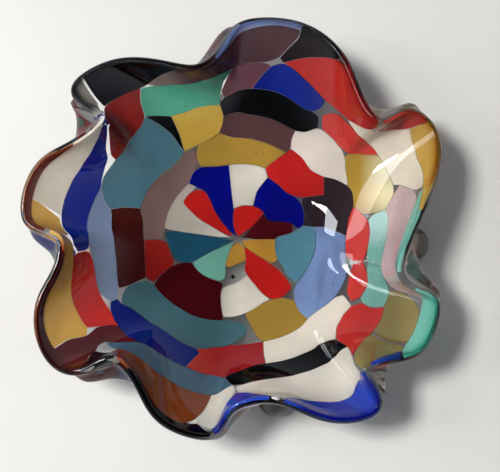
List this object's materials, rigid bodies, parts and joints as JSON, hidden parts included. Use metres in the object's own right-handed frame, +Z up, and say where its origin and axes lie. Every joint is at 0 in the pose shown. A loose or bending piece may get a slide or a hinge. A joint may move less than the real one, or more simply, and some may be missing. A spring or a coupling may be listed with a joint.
{
  "type": "art glass bowl",
  "caption": "Ruffled patchwork glass bowl: coloured tiles fused between a clear lining and a clear casing with a lobed lip, standing on applied clear feet.",
  "frame": {"origin": "Centre of the bowl's outline seen from above, on the table plane under the feet.", "axes": "+Z up out of the bowl. +X to the right and +Y away from the viewer when the bowl is seen from above with its plain foot at the right."},
  "size_m": [0.3628, 0.368, 0.0999],
  "materials": {
    "clear_glass": "clear, fire-polished",
    "foot_glass": "clear with a faint amber tint, fire-polished",
    "white_glass": "opaque colour under clear glass, fire-polished",
    "blue_glass": "opaque colour under clear glass, fire-polished",
    "red_glass": "opaque colour under clear glass, fire-polished",
    "maroon_glass": "opaque colour under clear glass, fire-polished",
    "ochre_glass": "opaque colour under clear glass, fire-polished",
    "olive_glass": "streaked translucent under clear glass, polished",
    "teal_glass": "opaque colour under clear glass, fire-polished",
    "turquoise_glass": "opaque colour under clear glass, fire-polished",
    "periwinkle_glass": "opaque colour under clear glass, fire-polished",
    "mauve_glass": "opaque colour under clear glass, fire-polished",
    "rose_glass": "opaque colour under clear glass, fire-polished",
    "aubergine_glass": "opaque colour under clear glass, fire-polished",
    "black_glass": "opaque colour under clear glass, fire-polished",
    "brown_glass": "opaque colour under clear glass, fire-polished",
    "steel_glass": "opaque colour under clear glass, fire-polished"
  },
  "bodies": {
    "root": {"aubergine_patch": "aubergine_glass", "black_arc_bottom": "black_glass", "black_patches_north": "black_glass", "black_rims": "black_glass", "blue_arc_bottom": "blue_glass", "blue_band_west": "blue_glass", "blue_patch_top": "blue_glass", "blue_rims_south": "blue_glass", "blue_wedges": "blue_glass", "brown_lobes": "brown_glass", "dark_lobe_north": "aubergine_glass", "foot_east": "foot_glass", "foot_north": "foot_glass", "foot_south": "foot_glass", "foot_west": "foot_glass", "inner_lining": "clear_glass", "maroon_lobe_west": "maroon_glass", "maroon_patch_bottom": "maroon_glass", "maroon_patch_left": "maroon_glass", "maroon_patch_upper": "maroon_glass", "maroon_wedge_right": "maroon_glass", "mauve_arc_top": "mauve_glass", "mauve_band_left": "mauve_glass", "mauve_lobe_north": "mauve_glass", "ochre_arc_top": "ochre_glass", "ochre_lobe_west": "ochre_glass", "ochre_rim_east": "ochre_glass", "ochre_square_bottom": "ochre_glass", "ochre_square_top": "ochre_glass", "ochre_wedges": "ochre_glass", "olive_lobe_south_east": "olive_glass", "outer_casing": "clear_glass", "periwinkle_arc_left": "periwinkle_glass", "periwinkle_arc_right": "periwinkle_glass", "red_arc_bottom": "red_glass", "red_bow": "red_glass", "red_lobe_north_east": "red_glass", "red_lobe_west": "red_glass", "red_patch_left": "red_glass", "red_patch_right": "red_glass", "red_patch_south_east": "red_glass", "red_patches_east": "red_glass", "red_wedges": "red_glass", "rose_patches": "rose_glass", "steel_rim_north": "steel_glass", "streaked_patch_right": "olive_glass", "teal_arc_bottom": "teal_glass", "teal_arc_outer": "teal_glass", "teal_patch_left": "teal_glass", "teal_wedges": "teal_glass", "turquoise_arc_top": "turquoise_glass", "turquoise_lobe_south_east": "turquoise_glass", "turquoise_patches_east": "turquoise_glass", "turquoise_wedge": "turquoise_glass", "white_arc_bottom": "white_glass", "white_lobe_east": "white_glass", "white_lobe_south": "white_glass", "white_lobe_west": "white_glass", "white_patch_right": "white_glass", "white_wedges": "white_glass"}
  },
  "joints": []
}
